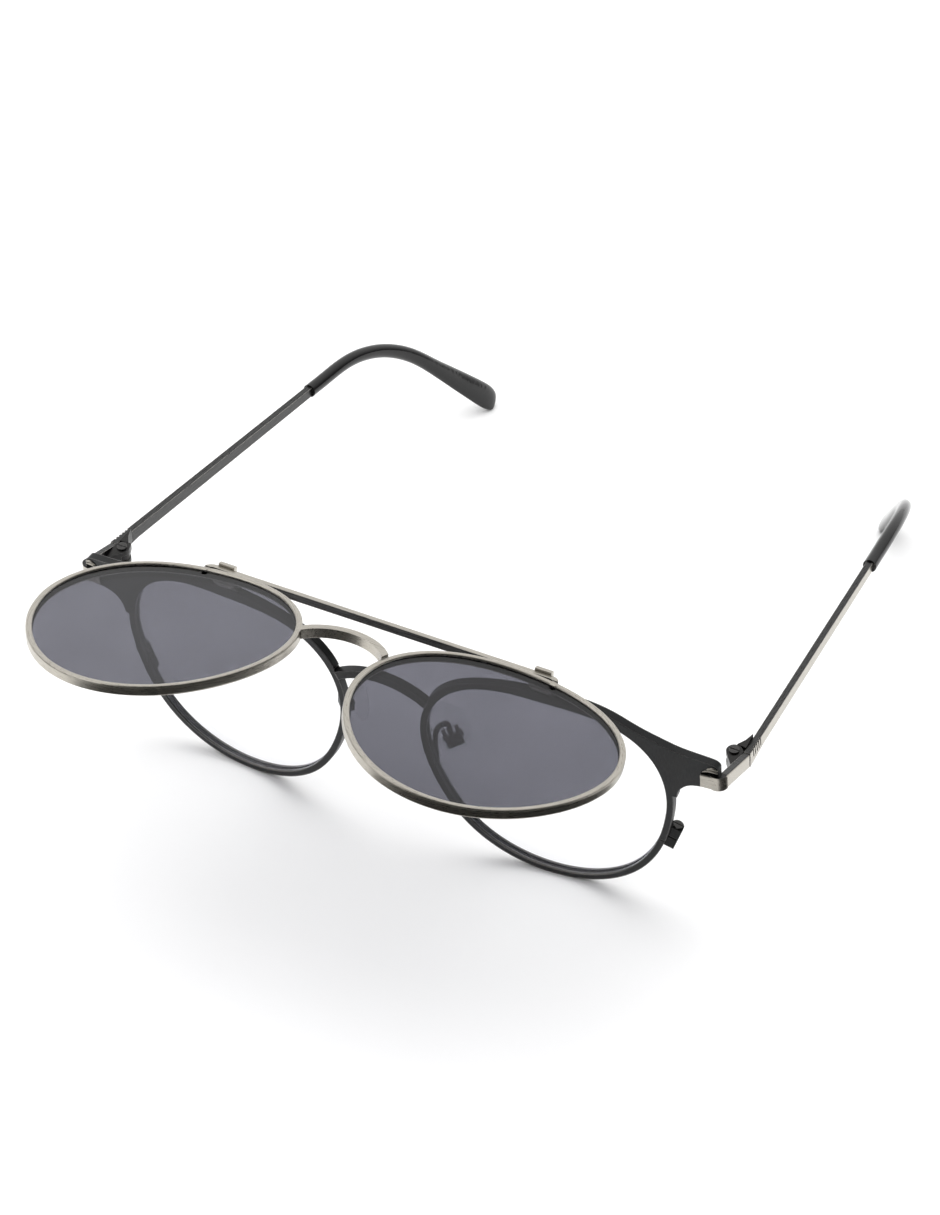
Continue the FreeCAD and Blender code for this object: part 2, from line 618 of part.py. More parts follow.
def rim_lock(hand, side):
    """Two half barrels, one on each side of the slit, and the screw that draws them together."""
    radius, back = size("lock_radius"), size("lock_screw_back")
    for half, sign in (("upper", 1), ("lower", -1)):
        body = start_body("%s_rim_lock_%s" % (hand, half))
        start = sign * size("lock_gap") / 2
        profile = sketch_on(body, "XY_Plane", move(0, 0, start))
        left, right, rear = Vector(-radius, back, 0), Vector(radius, back, 0), Vector(0, back + radius, 0)
        profile.addGeometry(Part.Arc(left, rear, right), False)
        profile.addGeometry(Part.LineSegment(right, Vector(radius, 0.02, 0)), False)
        profile.addGeometry(Part.LineSegment(Vector(radius, 0.02, 0), Vector(-radius, 0.02, 0)), False)
        profile.addGeometry(Part.LineSegment(Vector(-radius, 0.02, 0), left), False)
        pad(body, profile, "Sheet.lock_length", reverse=(sign < 0))
        hole = sketch_on(body, "XY_Plane")
        add_circle(hole, 0, back, "lock_screw_radius", 0.03)
        pocket(body, hole)
        body.Placement = lock_frame(side)
    screw = start_body(hand + "_rim_lock_screw")
    top = size("lock_gap") / 2 + size("lock_length")
    shank = sketch_on(screw, "XY_Plane", move(0, 0, top))
    add_circle(shank, 0, back, "lock_screw_radius")
    pad(screw, shank, "2 * Sheet.lock_length", reverse=True)
    head = sketch_on(screw, "XY_Plane", move(0, 0, top))
    add_circle(head, 0, back, "lock_screw_radius", size("lock_head_lip"))
    pad(screw, head, "Sheet.screw_head_height")
    slot = sketch_on(screw, "XY_Plane", move(0, 0, top + size("screw_head_height")))
    add_box(slot, -radius, radius, back - 0.12, back + 0.12)
    pocket(screw, slot, "Sheet.screw_head_height * 0.6")
    screw.Placement = lock_frame(side)


# --- Nose pads ------------------------------------------------------------------------------------------
def pad_frame(side):
    """At the pad's pivot: X across the pad, Y out of its face towards the nose, Z up along it."""
    place = move(side * size("pad_pivot_across"), size("pad_pivot_back"), -size("pad_pivot_drop"))
    facing = turn(Z_AXIS, side * size("pad_turn")) * turn(Y_AXIS, -side * size("pad_splay"))
    return STAND * place * facing


def pad_box(hand, side):
    """A small channel, open towards the pad, that takes the pad's lug."""
    body = start_body(hand + "_pad_box")
    half, wall = size("box_width") / 2, size("box_wall")
    block = sketch_on(body, "XY_Plane")
    back = size("box_front") - size("box_depth")
    add_box(block, -half, half, back, size("box_front"))
    pad(body, block, "Sheet.box_height", both=True)
    round_edges(body, size("box_corner"), lambda edge: edge.CenterOfMass.y < back + 0.1
                and abs(edge.CenterOfMass.z) < 0.1)
    slot = sketch_on(body, "XY_Plane")
    add_box(slot, -half + wall, half - wall, back + size("box_back_wall"), size("box_front") + 1)
    pocket(body, slot)
    hole = sketch_on(body, "YZ_Plane")
    add_circle(hole, 0, 0, "pad_screw_radius", 0.02)
    pocket(body, hole)
    body.Placement = pad_frame(side)
    return body


def pad_screw(hand, side):
    """A slotted screw across the box, through the lug."""
    body = start_body(hand + "_pad_screw")
    start = side * (size("box_width") / 2 + size("pad_screw_end"))
    shank = sketch_on(body, "YZ_Plane", move(0, 0, start))
    add_circle(shank, 0, 0, "pad_screw_radius")
    pad(body, shank, "Sheet.box_width + 2 * Sheet.pad_screw_end", reverse=(side > 0))
    head = sketch_on(body, "YZ_Plane", move(0, 0, side * size("box_width") / 2))
    add_circle(head, 0, 0, "pad_screw_radius", 0.3)
    pad(body, head, "Sheet.pad_screw_head", reverse=(side < 0))
    body.Placement = pad_frame(side)
    return body


def nose_pad(hand, side):
    """A soft clear pad, domed on both faces, with a lug that swings on the screw."""
    body = start_body(hand + "_nose_pad")
    lug_half = size("box_width") / 2 - size("box_wall") - 0.06
    lug = sketch_on(body, "YZ_Plane")
    radius = size("lug_radius")
    low, high, back = Vector(0, -radius, 0), Vector(0, radius, 0), Vector(-radius, 0, 0)
    lug.addGeometry(Part.Arc(low, back, high), False)
    reach = size("lug_reach")
    corners = [high, Vector(reach, radius, 0), Vector(reach, -radius, 0), low]
    for start, end in zip(corners, corners[1:]):
        lug.addGeometry(Part.LineSegment(start, end), False)
    pad(body, lug, "%g" % (2 * lug_half), both=True)
    dome = body.newObject("PartDesign::AdditiveEllipsoid", body.Name + "_dome")
    plane = next(item for item in body.Origin.OriginFeatures if item.Role == "XY_Plane")
    dome.AttachmentSupport = (plane, [""])
    dome.MapMode = "FlatFace"
    dome.AttachmentOffset = move(0, 2.6, 0)
    dome.setExpression("Radius1", "Sheet.pad_half_height")
    dome.setExpression("Radius2", "Sheet.pad_half_width")
    dome.setExpression("Radius3", "Sheet.pad_half_depth")
    hole = sketch_on(body, "YZ_Plane")
    add_circle(hole, 0, 0, "pad_screw_radius", 0.03)
    pocket(body, hole)
    body.Placement = pad_frame(side)
    return body


def pad_arm(hand, side):
    """A gooseneck wire from the back of the rim, up and over onto the top of the pad's box."""
    body = start_body(hand + "_pad_arm")
    start = Vector(side * size("wire_start_across"), size("wire_start_back"), -size("wire_start_drop"))
    back_wall = -size("box_depth") + size("box_front") + size("box_back_wall") / 2
    top_of_box = size("box_height") / 2 + size("wire_gap")
    on_box = STAND.inverse() * pad_frame(side)
    finish = on_box.multVec(Vector(0, back_wall, top_of_box))
    above = on_box.multVec(Vector(0, back_wall, top_of_box + 1.2))
    toward = finish - start
    heading = math.atan2(toward.y, toward.x)
    run = Vector(math.cos(heading), math.sin(heading), 0)
    route = [Vector(0, 0, 0), Vector(0.0, 3.7, 0), Vector(0.15, 6.9, 0), Vector(1.0, 8.8, 0),
             Vector(2.4, 9.1, 0)]
    route += [Vector((point - start).dot(run), point.z - start.z, 0) for point in (above, finish)]
    spine = sketch_on(body, "XZ_Plane")
    add_open_curve(spine, route)
    ring = sketch_on(body, "XY_Plane")
    add_circle(ring, 0, 0, "wire_radius")
    pipe = body.newObject("PartDesign::AdditivePipe", body.Name + "_wire")
    pipe.Profile = ring
    pipe.Spine = spine
    body.Placement = STAND * Placement(start, Rotation(Z_AXIS, math.degrees(heading)))
    return body


# --- Flip hinges and clip -----------------------------------------------------------------------------
def flip_frame(side):
    """On the flip hinge line, in the upright frame of the front."""
    return STAND * move(side * size("flip_across"), size("flip_back"), size("flip_up"))


def flip_bracket(hand, side):
    """A block on the brow's top edge with two ears for the flip pin."""
    body = start_body(hand + "_flip_bracket")
    radius = size("flip_eye_radius")
    back = 1.5
    base = -(size("flip_up") - size("brow_top") - size("solder_gap"))
    profile = sketch_on(body, "YZ_Plane")
    left, top, right = Vector(-radius, 0, 0), Vector(0, radius, 0), Vector(radius, 0, 0)
    profile.addGeometry(Part.Arc(left, top, right), False)
    corners = [right, Vector(back, -0.6, 0), Vector(back, base, 0), Vector(0.0, base, 0), left]
    for start, end in zip(corners, corners[1:]):
        profile.addGeometry(Part.LineSegment(start, end), False)
    pad(body, profile, "Sheet.flip_bracket_width", both=True)
    gap = sketch_on(body, "YZ_Plane")
    add_box(gap, -4, 4, -radius - 0.15, 4)
    pocket(body, gap, "Sheet.flip_block_width + 0.1", both=True)
    hole = sketch_on(body, "YZ_Plane")
    add_circle(hole, 0, 0, "flip_pin_radius", 0.02)
    pocket(body, hole)
    body.Placement = flip_frame(side)
    return body


def flip_pin(hand, side):
    body = start_body(hand + "_flip_pin")
    profile = sketch_on(body, "YZ_Plane")
    add_circle(profile, 0, 0, "flip_pin_radius")
    pad(body, profile, "Sheet.flip_bracket_width + 0.3", both=True)
    body.Placement = flip_frame(side)
    return body


def flip_block(hand, side):
    """The clip's half of the flip hinge: an eye round the pin, on a block along the top bar."""
    body = start_body(hand + "_flip_block")
    radius = size("flip_eye_radius")
    low = size("bar_top") + 0.02
    reach = -size("flip_block_reach")
    profile = sketch_on(body, "YZ_Plane")
    angle = math.asin(low / radius)
    meet = Vector(-radius * math.cos(angle), low, 0)
    top = Vector(0, radius, 0)
    profile.addGeometry(Part.Arc(meet, Vector(radius * 0.7071, -radius * 0.7071, 0), top), False)
    flat = size("flip_block_top")
    corners = [top, Vector(-radius, flat, 0), Vector(reach + 0.3, flat, 0), Vector(reach, flat - 0.3, 0),
               Vector(reach, low, 0), meet]
    for start, end in zip(corners, corners[1:]):
        profile.addGeometry(Part.LineSegment(start, end), False)
    pad(body, profile, "Sheet.flip_block_width", both=True)
    hole = sketch_on(body, "YZ_Plane")
    add_circle(hole, 0, 0, "flip_pin_radius", 0.03)
    pocket(body, hole)
    body.Placement = clip_frame() * move(side * size("flip_across"))
    return body


def clip_rim(hand, side):
    """A round wire rim, grooved inside for the tinted lens."""
    body = start_body(hand + "_clip_rim")
    ring = sketch_on(body, "XZ_Plane")
    add_closed_curve(ring, outline(side, size("clip_rim_width"), "clip"))
    pad(body, ring, "Sheet.clip_rim_depth", reverse=True)
    opening = sketch_on(body, "XZ_Plane")
    add_closed_curve(opening, outline(side, 0.0, "clip"))
    pocket(body, opening)
    round_edges(body, size("clip_rim_round"), lambda edge: edge.Length > 100)
    groove = sketch_on(body, "XZ_Plane", on_depth(size("clip_rim_depth") / 2))
    add_closed_curve(groove, outline(side, size("clip_groove_depth"), "clip"))
    pocket(body, groove, "Sheet.clip_lens_thickness + 0.06", both=True)
    body.Placement = clip_lens_frame(side)
    return body


def clip_lens(hand, side):
    """A flat tinted lens held in the clip rim's groove."""
    body = start_body(hand + "_clip_lens")
    sheet_of_lens = sketch_on(body, "XZ_Plane", on_depth(size("clip_rim_depth") / 2))
    add_closed_curve(sheet_of_lens, outline(side, size("clip_groove_depth") - size("lens_play"), "clip"))
    pad(body, sheet_of_lens, "Sheet.clip_lens_thickness", both=True)
    body.Placement = clip_lens_frame(side)
    return body


def clip_bar():
    """A straight bar over both clip rims, with its ends turned down onto them."""
    body = start_body("clip_top_bar")
    top, height = size("bar_top"), size("bar_height")
    low = top - height
    reach = size("bar_reach")
    turn_radius = size("bar_turn_radius")
    profile = sketch_on(body, "XZ_Plane", on_depth(-size("bar_front")))
    profile.addGeometry(Part.LineSegment(Vector(-reach, top, 0), Vector(reach, top, 0)), False)
    profile.addGeometry(Part.LineSegment(Vector(-reach, low, 0), Vector(reach, low, 0)), False)
    centre_z = top - turn_radius
    for sign in (1, -1):
        centre = Vector(sign * reach, centre_z, 0)
        ends = []
        for radius in (turn_radius, turn_radius - height):
            begin = centre + Vector(0, radius, 0)
            half = centre + Vector(sign * radius * 0.7071, radius * 0.7071, 0)
            end = centre + Vector(sign * radius, 0, 0)
            profile.addGeometry(Part.Arc(begin, half, end), False)
            ends.append(end)
        feet = [end + Vector(0, -size("bar_foot"), 0) for end in ends]
        for end, foot in zip(ends, feet):
            profile.addGeometry(Part.LineSegment(end, foot), False)
        profile.addGeometry(Part.LineSegment(feet[0], feet[1]), False)
    pad(body, profile, "Sheet.bar_depth", reverse=True)
    for side in SIDES.values():
        rim_trim(body, side, "clip", size("clip_rim_width"), -size("clip_forward"))
    body.Placement = clip_frame()
    return body


# --- The assembly ---------------------------------------------------------------------------------------
for hand, side in SIDES.items():
    eyewire(hand, side)
    lens(hand + "_clear_lens", side, "lens", front_frame(side), size("rim_depth") / 2,
         "Sheet.groove_width - 0.1", "Sheet.lens_thickness", "groove_depth")
    end_piece(hand, side)
    hinge_front(hand, side)
    hinge_screw(hand, side)
    temple_hinge(hand, side)
    temple_arm(hand, side)
    temple_tip(hand, side)
    rim_lock(hand, side)
    pad_arm(hand, side)
    pad_box(hand, side)
    pad_screw(hand, side)
    nose_pad(hand, side)
    flip_bracket(hand, side)
    flip_pin(hand, side)
    flip_block(hand, side)
    clip_rim(hand, side)
    clip_lens(hand, side)

arch("bridge", size("bridge_span"), size("bridge_crest"), size("bridge_foot"), size("bridge_height"),
     0.75, "Sheet.rim_depth", STAND, "lens", size("rim_width"), 0.0)
arch("clip_bridge", size("clip_bridge_span"), size("clip_bridge_crest"), size("clip_bridge_foot"),
     size("clip_bridge_height"), -size("clip_forward") + 0.4, "Sheet.clip_rim_depth", clip_frame(),
     "clip", size("clip_rim_width"), -size("clip_forward"))
clip_bar()
doc.recompute()

# --- Checks and export ----------------------------------------------------------------------------------
for item in doc.Objects:
    faults = [state for state in item.State if state in ("Invalid", "Error")]
    if faults:
        raise ValueError("%s is %s" % (item.Name, ", ".join(faults)))
whole = FreeCAD.BoundBox()
for name, body in pieces.items():
    shape = body.Shape
    if shape.isNull() or not shape.isValid():
        raise ValueError("%s has no valid shape" % name)
    if len(shape.Solids) != 1:
        raise ValueError("%s has %d solids" % (name, len(shape.Solids)))
    shape.exportStep("parts/%s.step" % name)
    whole.add(shape.BoundBox)
print("pieces:", len(pieces))
print("box: x %.2f..%.2f  y %.2f..%.2f  z %.2f..%.2f"
      % (whole.XMin, whole.XMax, whole.YMin, whole.YMax, whole.ZMin, whole.ZMax))
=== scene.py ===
"""Looks of the flip-up sunglasses: finishes, small fittings, studio and camera.

Frame: +X is the wearer's left, +Y runs back along the temples, +Z is up, in metres. MM is one
millimetre. Pieces are called right or left as seen from the front, so right is at +X. The lean of
the front and the places of its parts repeat the driving sizes of the CAD part.
"""
import math

import bmesh
import bpy
from mathutils import Matrix, Vector


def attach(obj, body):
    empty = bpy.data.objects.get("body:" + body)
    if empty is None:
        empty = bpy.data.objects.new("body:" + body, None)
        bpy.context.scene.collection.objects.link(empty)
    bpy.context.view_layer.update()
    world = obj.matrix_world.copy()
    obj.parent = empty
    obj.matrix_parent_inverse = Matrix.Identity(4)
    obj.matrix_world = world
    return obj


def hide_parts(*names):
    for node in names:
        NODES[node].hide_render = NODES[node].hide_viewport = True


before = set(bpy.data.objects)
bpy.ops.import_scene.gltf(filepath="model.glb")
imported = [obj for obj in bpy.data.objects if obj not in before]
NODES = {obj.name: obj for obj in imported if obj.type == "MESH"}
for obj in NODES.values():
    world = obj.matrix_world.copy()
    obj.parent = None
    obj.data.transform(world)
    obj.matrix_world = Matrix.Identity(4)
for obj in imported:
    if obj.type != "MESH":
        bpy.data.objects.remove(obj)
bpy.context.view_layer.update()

MM = 0.001
SIDES = {"right": 1, "left": -1}
SIDE_WAYS = {side: Vector((side, 0, 0)) for side in SIDES.values()}

LEAN = math.radians(6.996)            # the front leans back by this much about X
WRAP = math.radians(5.3)              # each rim is turned back by this much
FLIP = math.radians(107.0)            # the clip is flipped up by this much
FRONT_BACK, FRONT_RISE = 45.970, 38.299           # the front's own origin, forward of and above the row's
CLIP_PIN_BACK, CLIP_PIN_RISE = 3.2, 12.2          # the line of both flip pins, in the front
CLIP_DEPTH = 6.35                                 # the clip's plane, in front of the pins when closed
CLIP_RIM_ACROSS, CLIP_RIM_DROP = 33.6, 25.9       # the middle of a clip rim, from the pins
PAD_ACROSS, PAD_BACK, PAD_DROP = 11.45, 7.0, 14.2             # where a nose pad pivots, in the front
PAD_TURN, PAD_SPLAY = math.radians(42.0), math.radians(14.0)  # how a pad faces back and leans out
WIRE_FOOT = (9.55, 3.0, -18.1)                    # where a pad wire meets its rim, in the front
CAMERA_ROLL = math.radians(0.5893)
LENS = 136.58                                     # focal length on a sensor 36 mm wide

TO_FRONT = Matrix.Translation((0, -FRONT_BACK * MM, FRONT_RISE * MM)) @ Matrix.Rotation(LEAN, 4, "X")
TO_CLIP = (TO_FRONT @ Matrix.Translation((0, CLIP_PIN_BACK * MM, CLIP_PIN_RISE * MM))
           @ Matrix.Rotation(-FLIP, 4, "X"))
CLIP_NORMAL = (TO_CLIP.to_3x3() @ Vector((0, -1, 0))).normalized()
FRONT_NORMAL = (TO_FRONT.to_3x3() @ Vector((0, -1, 0))).normalized()


# --- Materials --------------------------------------------------------------------------------------
class Look:
    """A procedural material in the making, with short names for the nodes it is built from."""

    def __init__(self, name, **shader_values):
        self.material = bpy.data.materials.new(name)
        self.material.use_nodes = True
        self.nodes = self.material.node_tree.nodes
        self.links = self.material.node_tree.links
        self.shader = self.nodes["Principled BSDF"]
        self.output = self.nodes["Material Output"]
        for socket, value in shader_values.items():
            self.shader.inputs[socket.replace("_", " ")].default_value = value

    def node(self, kind, inputs=(), **settings):
        node = self.nodes.new("ShaderNode" + kind)
        for key, value in settings.items():
            setattr(node, key, value)
        for key, value in dict(inputs).items():
            if isinstance(value, bpy.types.NodeSocket):
                self.links.new(value, node.inputs[key])
            else:
                node.inputs[key].default_value = value
        return node

    def math(self, operation, a, b=0.0, c=0.0):
        return self.node("Math", {0: a, 1: b, 2: c}, operation=operation).outputs[0]

    def place(self, stretch=(1, 1, 1), middle=(0, 0, 0)):
        """Object coordinates in millimetres from a middle point, stretched."""
        coordinates = self.node("TexCoord").outputs["Object"]
        shifted = self.node("VectorMath", {0: coordinates, 1: middle}, operation="SUBTRACT").outputs[0]
        scale = tuple(value / MM for value in stretch)
        return self.node("VectorMath", {0: shifted, 1: scale}, operation="MULTIPLY").outputs[0]

    def noise(self, vector, scale=1.0, detail=3.0, roughness=0.55):
        inputs = {"Vector": vector, "Scale": scale, "Detail": detail, "Roughness": roughness}
        return self.node("TexNoise", inputs).outputs["Fac"]

    def ramp(self, value, low, high, to_low=0.0, to_high=1.0):
        inputs = {"Value": value, "From Min": low, "From Max": high, "To Min": to_low, "To Max": to_high}
        return self.node("MapRange", inputs, interpolation_type="SMOOTHSTEP").outputs["Result"]

    def blend(self, share, first, second):
        mixer = self.node("Mix", data_type="RGBA")
        sockets = (mixer.inputs[0], mixer.inputs[6], mixer.inputs[7])     # share, first and second colour
        for socket, value in zip(sockets, (share, first, second)):
            if isinstance(value, bpy.types.NodeSocket):
                self.links.new(value, socket)
            else:
                socket.default_value = value if not isinstance(value, tuple) else (*value, 1.0)
        return mixer.outputs[2]

    def facing(self, direction, low, high):
        """One where the surface faces the direction, in the object's own space, down to zero."""
        normal = self.node("TexCoord").outputs["Normal"]
        share = self.node("VectorMath", {0: normal, 1: tuple(direction)}, operation="DOT_PRODUCT")
        return self.ramp(share.outputs["Value"], low, high)

    def edges(self, radius):
        """One on the object's sharp edges and zero on its flats."""
        rounded = self.node("Bevel", {"Radius": radius}, samples=6).outputs[0]
        true = self.node("NewGeometry").outputs["Normal"]
        same = self.node("VectorMath", {0: rounded, 1: true}, operation="DOT_PRODUCT").outputs["Value"]
        return self.ramp(same, 0.995, 0.90)

    def rough_bump(self, height, distance, strength=1.0, radius=0.0):
        inputs = {"Height": height, "Distance": distance, "Strength": strength}
        if radius:
            inputs["Normal"] = self.node("Bevel", {"Radius": radius}, samples=6).outputs[0]
        bump = self.node("Bump", inputs)
        self.links.new(bump.outputs[0], self.shader.inputs["Normal"])

    def set(self, socket, value):
        self.links.new(value, self.shader.inputs[socket])


def grey(value, warm=0.0):
    return (value * (1 + warm), value, value * (1 - warm))


def black_metal(name, wear=1.0, tone=1.0):
    """Matt black lacquer, brushed up and down, worn to grey along its edges, with a painted highlight:
    lighter silver-grey on the edges near the bottom, standing in for the reflection of the pale floor.
    """
    look = Look(name, Metallic=0.9, IOR=1.5)
    streaks = look.noise(look.place((7.0, 7.0, 0.3)), 1.0, 4.0, 0.6)
    cloud = look.noise(look.place(), 0.12, 2.0)
    base = look.blend(look.ramp(streaks, 0.3, 0.75), grey(0.031 * tone), grey(0.047 * tone))
    cool = tuple(value * tone for value in (0.030, 0.034, 0.036))
    base = look.blend(look.ramp(cloud, 0.35, 0.7, 0.0, 0.4), base, cool)
    patchy = look.ramp(streaks, 0.25, 0.6, 0.35 * wear, 0.9 * wear)
    worn = look.math("MULTIPLY", look.edges(0.35 * MM), patchy)
    # Painted highlight: edges lower than about 9 mm are lightened to silver-grey, standing in for the
    # reflection of the pale floor.
    height = look.node("SeparateXYZ", {0: look.place()}).outputs["Z"]
    painted_low_highlight = look.math("MULTIPLY", look.edges(0.6 * MM), look.ramp(height, 9.0, 2.0, 0.0, 0.75))
    base = look.blend(painted_low_highlight, base, grey(0.36, 0.06))
    look.set("Base Color", look.blend(worn, base, grey(0.20, 0.02)))
    look.set("Roughness", look.ramp(streaks, 0.2, 0.8, 0.34, 0.48))
    look.rough_bump(streaks, 0.02 * MM, 0.4, 0.3 * MM)
    return look.material


def antique_silver(name, directions, middle=(0, 0, 0), ring=False, along=(0.2, 7.0, 7.0),
                   recess=(0.3, 0.7), smoke_and_shade_tone=1.0):
    """Brushed silver on the faces that look along the directions, dark smoky grey elsewhere: partly a
    smoked gunmetal finish, partly painted shade on the faces turned away from the light.

    With no directions it is silver all round. A ring is brushed about its middle, any other piece
    along the axis with the smallest stretch. Recess is the range of openness that stays dark.
    """
    look = Look(name, Metallic=1.0)
    if ring:
        place = look.place(middle=middle)
        length = look.node("VectorMath", {0: place}, operation="LENGTH").outputs["Value"]
        height = look.node("VectorMath", {0: place, 1: tuple(CLIP_NORMAL)}, operation="DOT_PRODUCT")
        lines = look.node("CombineXYZ", {0: look.math("MULTIPLY", length, 7.0),
                                         1: look.math("MULTIPLY", height.outputs["Value"], 7.0)})
        slow = look.place((0.08, 0.08, 0.08))
        vector = look.node("VectorMath", {0: lines.outputs[0], 1: slow}, operation="ADD").outputs[0]
    else:
        vector = look.place(along)
    brushed = look.noise(vector, 1.0, 4.0, 0.6)
    patina = look.noise(look.place(), 0.16, 3.0, 0.6)
    silver = look.blend(look.ramp(brushed, 0.25, 0.75), (0.40, 0.375, 0.325), (0.55, 0.52, 0.465))
    silver = look.blend(look.ramp(patina, 0.5, 0.8, 0.0, 0.35), silver, grey(0.33, 0.04))
    base = silver
    if directions:
        # Painted shade: faces that don't look along the directions get a dark smoky grey, partly a smoked
        # finish and partly shade painted on the faces turned from the light.
        smoke_and_shade = look.blend(look.ramp(brushed, 0.3, 0.7), grey(0.045 * smoke_and_shade_tone), grey(0.075 * smoke_and_shade_tone, 0.01))
        share, *others = [look.facing(direction, 0.45, 0.75) for direction in directions]
        for other in others:
            share = look.math("MAXIMUM", share, other)
        base = look.blend(share, smoke_and_shade, silver)
    if recess:
        open_share = look.node("AmbientOcclusion", {"Distance": 0.5 * MM}, samples=6).outputs["AO"]
        base = look.blend(look.ramp(open_share, *recess), grey(0.025), base)
    worn = look.math("MULTIPLY", look.edges(0.2 * MM), look.ramp(brushed, 0.3, 0.55, 0.2, 0.7))
    look.set("Base Color", look.blend(worn, base, (0.62, 0.59, 0.54)))
    look.set("Roughness", look.ramp(brushed, 0.2, 0.8, 0.24, 0.36))
    look.rough_bump(brushed, 0.015 * MM, 0.4, 0.15 * MM)
    return look.material


def plain_steel(name, tone):
    """Satin steel with fine grain and lighter edges."""
    warm = 0.02
    look = Look(name, Metallic=1.0)
    grain = look.noise(look.place((1.5, 1.5, 1.5)), 4.0, 4.0, 0.6)
    base = look.blend(look.ramp(grain, 0.3, 0.7), grey(tone * 0.8, warm), grey(tone * 1.15, warm))
    worn = look.math("MULTIPLY", look.edges(0.14 * MM), 0.6)
    look.set("Base Color", look.blend(worn, base, grey(min(0.6, tone * 3.0), warm)))
    look.set("Roughness", look.ramp(grain, 0.2, 0.8, 0.28, 0.42))
    look.rough_bump(grain, 0.012 * MM, 0.4, 0.1 * MM)
    return look.material


def acetate(name):
    """Polished black sleeve with faint moulding waves and handling marks."""
    look = Look(name, IOR=1.4, Coat_Weight=0.1, Coat_Roughness=0.03)
    waves = look.noise(look.place((0.35, 0.1, 0.35)), 1.0, 2.0)
    marks = look.noise(look.place((3.0, 0.6, 3.0)), 1.0, 4.0)
    look.set("Base Color", look.blend(look.ramp(marks, 0.4, 0.8), grey(0.003), grey(0.008)))
    look.set("Roughness", look.ramp(marks, 0.3, 0.8, 0.07, 0.15))
    look.rough_bump(waves, 0.05 * MM, 0.3)
    return look.material


def pane(name, tint, sheen):
    """A see-through lens: each face tints what is behind it, under a mirror that grows to grazing."""
    look = Look(name)
    look.nodes.remove(look.shader)
    smudge = look.noise(look.place(), 0.05, 4.0, 0.6)
    lighter = tuple(min(1.0, value * 1.05) for value in tint)
    uneven_tint = look.blend(look.ramp(smudge, 0.35, 0.75), tint, lighter)
    clear = look.node("BsdfTransparent", {"Color": uneven_tint})
    mirror = look.node("BsdfGlossy", {"Color": look.blend(smudge, *sheen),
                                      "Roughness": look.ramp(smudge, 0.3, 0.8, 0.02, 0.06)})
    facing = look.node("LayerWeight", {"Blend": 0.5}).outputs["Facing"]
    weight = look.math("MULTIPLY_ADD", look.math("POWER", facing, 5.0), 0.96, 0.035)
    mixed = look.node("MixShader", {0: weight, 1: clear.outputs[0], 2: mirror.outputs[0]})
    look.links.new(mixed.outputs[0], look.output.inputs["Surface"])
    return look.material


def silicone(name):
    """Clear soft pad: almost nothing face on, a faint milky line where it is seen edge on."""
    look = Look(name)
    look.nodes.remove(look.shader)
    cloud = look.noise(look.place(), 0.7, 3.0)
    clear = look.node("BsdfTransparent", {"Color": look.blend(cloud, grey(0.985), grey(0.997))})
    gloss = look.node("BsdfPrincipled", {"Base Color": look.blend(cloud, grey(0.62), grey(0.75)),
                                         "Roughness": 0.12, "IOR": 1.41})
    facing = look.node("LayerWeight", {"Blend": 0.5}).outputs["Facing"]
    share = look.math("MULTIPLY_ADD", look.math("POWER", facing, 4.0), 0.2, 0.006)
    mixed = look.node("MixShader", {0: share, 1: clear.outputs[0], 2: gloss.outputs[0]})
    look.links.new(mixed.outputs[0], look.output.inputs["Surface"])
    return look.material


def dress(name, material):
    """Gives a carried-over node its finish."""
    node = NODES[name]
    node.data.materials.clear()
    node.data.materials.append(material)


def clip_middle(side):
    """The middle of a clip rim, with the clip flipped up."""
    place = TO_CLIP @ Matrix.Translation((0, -CLIP_DEPTH * MM, 0)) @ Matrix.Rotation(side * WRAP, 4, "Z")
    return place @ (Vector((side * CLIP_RIM_ACROSS, 0, -CLIP_RIM_DROP)) * MM)


front_black = black_metal("black_lacquer")
small_black = black_metal("small_black", 0.15, 0.5)
# The clip bar is silver where it faces forward; its other faces are dark, partly a smoked finish and
# partly painted shade.
clip_silver = antique_silver("clip_silver", (CLIP_NORMAL,), smoke_and_shade_tone=2.6)
block_silver = antique_silver("block_silver", ())
hinge_steel = plain_steel("hinge_steel", 0.05)
screw_steel = plain_steel("screw_steel", 0.09)
sleeve_black = acetate("sleeve_black")
clear_glass = pane("clear_glass", (0.99, 0.992, 0.995), (grey(0.8), (0.72, 0.74, 0.9)))
tinted_glass = pane("tinted_glass", (0.330, 0.330, 0.366), (grey(0.8), grey(0.9)))
pad_clear = silicone("pad_clear")

